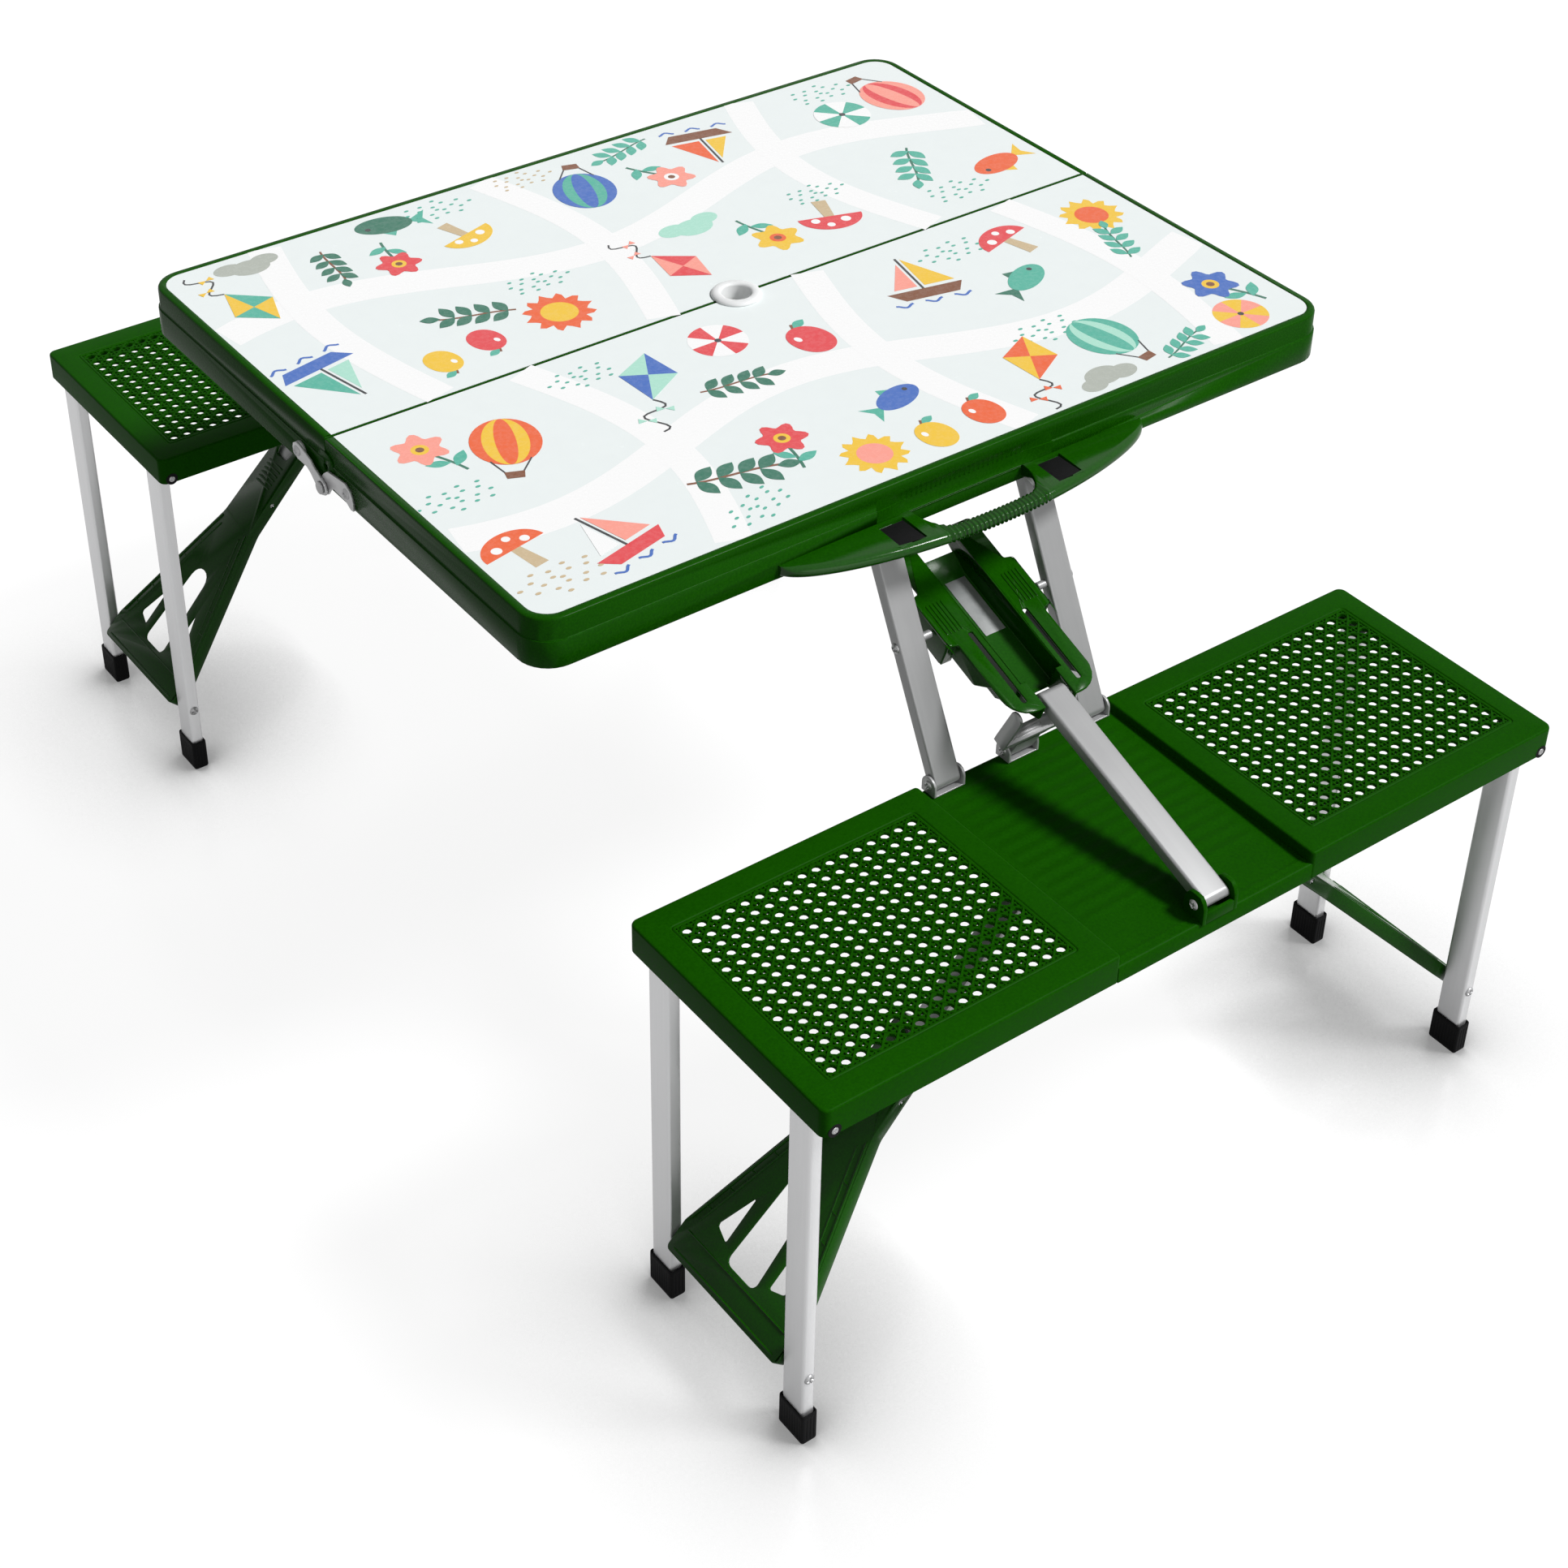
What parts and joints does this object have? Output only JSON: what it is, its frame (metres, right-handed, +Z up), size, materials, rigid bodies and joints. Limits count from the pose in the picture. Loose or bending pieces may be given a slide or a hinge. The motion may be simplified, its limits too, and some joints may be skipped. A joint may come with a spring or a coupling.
{
  "type": "folding table with attached benches",
  "caption": "Portable folding table: a hinged two-part top with side handles, benches with perforated seats on folding tube legs, and a knee brace under each long side.",
  "frame": {"origin": "on the floor under the middle of the seam", "axes": "+Z up, X along the seam and the benches, the front bench at -Y"},
  "size_m": [0.8762, 1.359, 0.6636],
  "materials": {
    "green_plastic": "fine grained moulding",
    "white_plastic": "smooth printed skin",
    "aluminium": "satin",
    "black_rubber": "ribbed"
  },
  "bodies": {
    "table_front": {"tray_front": "green_plastic", "top_skin_front": "white_plastic", "hinge_leaf_inner_front": "aluminium", "hinge_leaf_outer_front": "aluminium", "hinge_pin_front": "aluminium", "handle_pad_front_left": "black_rubber", "handle_pad_front_right": "black_rubber", "parasol_ring": "white_plastic"},
    "table_legs_front": {"table_leg_front_left": "aluminium", "table_leg_front_right": "aluminium", "leg_axle_front": "aluminium"},
    "bench_front": {"bench_front": "green_plastic", "prop_clevis_front": "aluminium", "leg_clevis_front_left": "aluminium", "leg_clevis_front_right": "aluminium"},
    "diagonal_front": {"diagonal_front": "aluminium"},
    "brace_front": {"brace_front": "green_plastic"},
    "prop_front": {"prop_front": "aluminium"},
    "end_legs_front_left": {"end_leg_front_left_a": "aluminium", "end_leg_front_left_b": "aluminium", "foot_cap_front_left_a": "black_rubber", "foot_cap_front_left_b": "black_rubber"},
    "wishbone_front_left": {"wishbone_front_left": "green_plastic"},
    "link_front_left": {"wishbone_link_front_left": "aluminium"},
    "end_legs_front_right": {"end_leg_front_right_a": "aluminium", "end_leg_front_right_b": "aluminium", "foot_cap_front_right_a": "black_rubber", "foot_cap_front_right_b": "black_rubber"},
    "wishbone_front_right": {"wishbone_front_right": "green_plastic"},
    "link_front_right": {"wishbone_link_front_right": "aluminium"},
    "table_back": {"tray_back": "green_plastic", "top_skin_back": "white_plastic", "hinge_leaf_inner_back": "aluminium", "hinge_leaf_outer_back": "aluminium", "hinge_pin_back": "aluminium", "handle_pad_back_left": "black_rubber", "handle_pad_back_right": "black_rubber"},
    "table_legs_back": {"table_leg_back_left": "aluminium", "table_leg_back_right": "aluminium", "leg_axle_back": "aluminium"},
    "bench_back": {"bench_back": "green_plastic", "prop_clevis_back": "aluminium", "leg_clevis_back_left": "aluminium", "leg_clevis_back_right": "aluminium"},
    "diagonal_back": {"diagonal_back": "aluminium"},
    "brace_back": {"brace_back": "green_plastic"},
    "prop_back": {"prop_back": "aluminium"},
    "end_legs_back_left": {"end_leg_back_left_a": "aluminium", "end_leg_back_left_b": "aluminium", "foot_cap_back_left_a": "black_rubber", "foot_cap_back_left_b": "black_rubber"},
    "wishbone_back_left": {"wishbone_back_left": "green_plastic"},
    "link_back_left": {"wishbone_link_back_left": "aluminium"},
    "end_legs_back_right": {"end_leg_back_right_a": "aluminium", "end_leg_back_right_b": "aluminium", "foot_cap_back_right_a": "black_rubber", "foot_cap_back_right_b": "black_rubber"},
    "wishbone_back_right": {"wishbone_back_right": "green_plastic"},
    "link_back_right": {"wishbone_link_back_right": "aluminium"}
  },
  "joints": [
    {"name": "top_fold", "type": "hinge", "parent": "table_front", "child": "table_back", "pos_m": [0, 0, 0.613], "axis": [-1, 0, 0], "range_deg": [0, 60]},
    {"name": "bench_fold_front", "type": "hinge", "parent": "table_front", "child": "table_legs_front", "pos_m": [0, -0.308, 0.637], "axis": [1, 0, 0], "range_deg": [0, 105]},
    {"name": "bench_level_front", "type": "hinge", "parent": "table_legs_front", "child": "bench_front", "pos_m": [0, -0.423, 0.408], "axis": [1, 0, 0], "range_deg": [-105.01, 0]},
    {"name": "diagonal_drop_front", "type": "hinge", "parent": "bench_front", "child": "diagonal_front", "pos_m": [0, -0.668, 0.409], "axis": [1, 0, 0], "range_deg": [-19.3, 0]},
    {"name": "brace_knee_front", "type": "hinge", "parent": "diagonal_front", "child": "brace_front", "pos_m": [0, -0.46077, 0.48484], "axis": [1, 0, 0], "range_deg": [0, 167.03]},
    {"name": "prop_swing_front", "type": "hinge", "parent": "bench_front", "child": "prop_front", "pos_m": [0, -0.423, 0.408], "axis": [1, 0, 0], "range_deg": [-63.01, 0]},
    {"name": "leg_fold_front_left", "type": "hinge", "parent": "bench_front", "child": "end_legs_front_left", "pos_m": [-0.394, -0.547, 0.383], "axis": [0, -1, 0], "range_deg": [0, 90]},
    {"name": "link_swing_front_left", "type": "hinge", "parent": "bench_front", "child": "link_front_left", "pos_m": [-0.095, -0.547, 0.383], "axis": [0, -1, 0], "range_deg": [-45.77, 0]},
    {"name": "wishbone_knee_front_left", "type": "hinge", "parent": "link_front_left", "child": "wishbone_front_left", "pos_m": [-0.24002, -0.547, 0.23411], "axis": [0, -1, 0], "range_deg": [0, 180.01]},
    {"name": "leg_fold_front_right", "type": "hinge", "parent": "bench_front", "child": "end_legs_front_right", "pos_m": [0.394, -0.547, 0.383], "axis": [0, 1, 0], "range_deg": [0, 90]},
    {"name": "link_swing_front_right", "type": "hinge", "parent": "bench_front", "child": "link_front_right", "pos_m": [0.095, -0.547, 0.383], "axis": [0, 1, 0], "range_deg": [-45.77, 0]},
    {"name": "wishbone_knee_front_right", "type": "hinge", "parent": "link_front_right", "child": "wishbone_front_right", "pos_m": [0.24002, -0.547, 0.23411], "axis": [0, 1, 0], "range_deg": [0, 180.01]},
    {"name": "bench_fold_back", "type": "hinge", "parent": "table_back", "child": "table_legs_back", "pos_m": [0, 0.308, 0.637], "axis": [-1, 0, 0], "range_deg": [0, 105]},
    {"name": "bench_level_back", "type": "hinge", "parent": "table_legs_back", "child": "bench_back", "pos_m": [0, 0.423, 0.408], "axis": [-1, 0, 0], "range_deg": [-105.01, 0]},
    {"name": "diagonal_drop_back", "type": "hinge", "parent": "bench_back", "child": "diagonal_back", "pos_m": [0, 0.668, 0.409], "axis": [-1, 0, 0], "range_deg": [-19.3, 0]},
    {"name": "brace_knee_back", "type": "hinge", "parent": "diagonal_back", "child": "brace_back", "pos_m": [0, 0.46077, 0.48484], "axis": [-1, 0, 0], "range_deg": [0, 167.03]},
    {"name": "prop_swing_back", "type": "hinge", "parent": "bench_back", "child": "prop_back", "pos_m": [0, 0.423, 0.408], "axis": [-1, 0, 0], "range_deg": [-63.01, 0]},
    {"name": "leg_fold_back_left", "type": "hinge", "parent": "bench_back", "child": "end_legs_back_left", "pos_m": [-0.394, 0.547, 0.383], "axis": [0, -1, 0], "range_deg": [0, 90]},
    {"name": "link_swing_back_left", "type": "hinge", "parent": "bench_back", "child": "link_back_left", "pos_m": [-0.095, 0.547, 0.383], "axis": [0, -1, 0], "range_deg": [-45.77, 0]},
    {"name": "wishbone_knee_back_left", "type": "hinge", "parent": "link_back_left", "child": "wishbone_back_left", "pos_m": [-0.24002, 0.547, 0.23411], "axis": [0, -1, 0], "range_deg": [0, 180.01]},
    {"name": "leg_fold_back_right", "type": "hinge", "parent": "bench_back", "child": "end_legs_back_right", "pos_m": [0.394, 0.547, 0.383], "axis": [0, 1, 0], "range_deg": [0, 90]},
    {"name": "link_swing_back_right", "type": "hinge", "parent": "bench_back", "child": "link_back_right", "pos_m": [0.095, 0.547, 0.383], "axis": [0, 1, 0], "range_deg": [-45.77, 0]},
    {"name": "wishbone_knee_back_right", "type": "hinge", "parent": "link_back_right", "child": "wishbone_back_right", "pos_m": [0.24002, 0.547, 0.23411], "axis": [0, 1, 0], "range_deg": [0, 180.01]}
  ],
  "couplings": [
    {"joint": "bench_level_front", "follows": "bench_fold_front", "ratio": -1},
    {"joint": "diagonal_drop_front", "follows": "bench_fold_front", "ratio": -0.1837},
    {"joint": "brace_knee_front", "follows": "bench_fold_front", "ratio": 1.5906},
    {"joint": "prop_swing_front", "follows": "bench_fold_front", "ratio": -0.6},
    {"joint": "link_swing_front_left", "follows": "leg_fold_front_left", "ratio": -0.5084},
    {"joint": "wishbone_knee_front_left", "follows": "leg_fold_front_left", "ratio": 2},
    {"joint": "link_swing_front_right", "follows": "leg_fold_front_right", "ratio": -0.5084},
    {"joint": "wishbone_knee_front_right", "follows": "leg_fold_front_right", "ratio": 2},
    {"joint": "bench_level_back", "follows": "bench_fold_back", "ratio": -1},
    {"joint": "diagonal_drop_back", "follows": "bench_fold_back", "ratio": -0.1837},
    {"joint": "brace_knee_back", "follows": "bench_fold_back", "ratio": 1.5906},
    {"joint": "prop_swing_back", "follows": "bench_fold_back", "ratio": -0.6},
    {"joint": "link_swing_back_left", "follows": "leg_fold_back_left", "ratio": -0.5084},
    {"joint": "wishbone_knee_back_left", "follows": "leg_fold_back_left", "ratio": 2},
    {"joint": "link_swing_back_right", "follows": "leg_fold_back_right", "ratio": -0.5084},
    {"joint": "wishbone_knee_back_right", "follows": "leg_fold_back_right", "ratio": 2}
  ]
}
